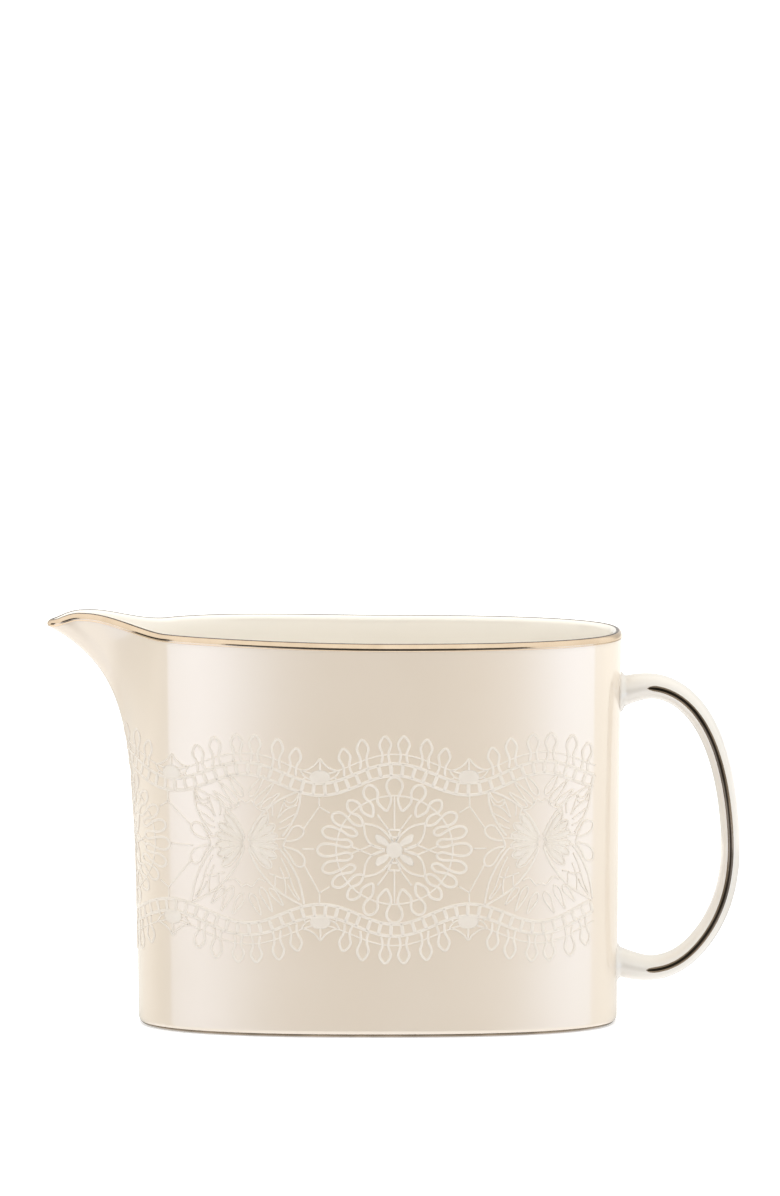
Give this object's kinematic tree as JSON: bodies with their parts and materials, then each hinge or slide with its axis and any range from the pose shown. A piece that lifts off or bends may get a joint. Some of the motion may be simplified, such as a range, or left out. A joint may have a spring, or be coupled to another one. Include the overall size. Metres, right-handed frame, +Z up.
{
  "type": "cream jug",
  "caption": "Oval china cream jug with a drawn-out pouring lip, a loop handle, metal trims and a raised lace frieze; free-standing, poured by hand.",
  "frame": {"origin": "on the table, at the centre of the jug's outline from pouring lip to handle", "axes": "+Z up, +X from the pouring lip towards the handle, Y = 0 the plane of symmetry"},
  "size_m": [0.1663, 0.0496, 0.0996],
  "materials": {
    "china_glaze": "bone china under a glossy pearl lustre glaze",
    "rim_metal": "polished champagne-coloured precious metal film",
    "trim_platinum": "polished platinum film",
    "lace_enamel": "raised white enamel with a soft sheen"
  },
  "bodies": {
    "root": {"body": "china_glaze", "handle": "china_glaze", "handle_joint_upper": "china_glaze", "handle_joint_lower": "china_glaze", "rim_band": "rim_metal", "foot_band": "trim_platinum", "handle_stripe_front": "trim_platinum", "handle_stripe_back": "trim_platinum", "lace_medallion_spout": "lace_enamel", "lace_medallion_front": "lace_enamel", "lace_medallion_back": "lace_enamel", "lace_butterfly_front_left": "lace_enamel", "lace_butterfly_front_right": "lace_enamel", "lace_butterfly_back_left": "lace_enamel", "lace_butterfly_back_right": "lace_enamel", "lace_border_top": "lace_enamel", "lace_border_bottom": "lace_enamel"}
  },
  "joints": []
}
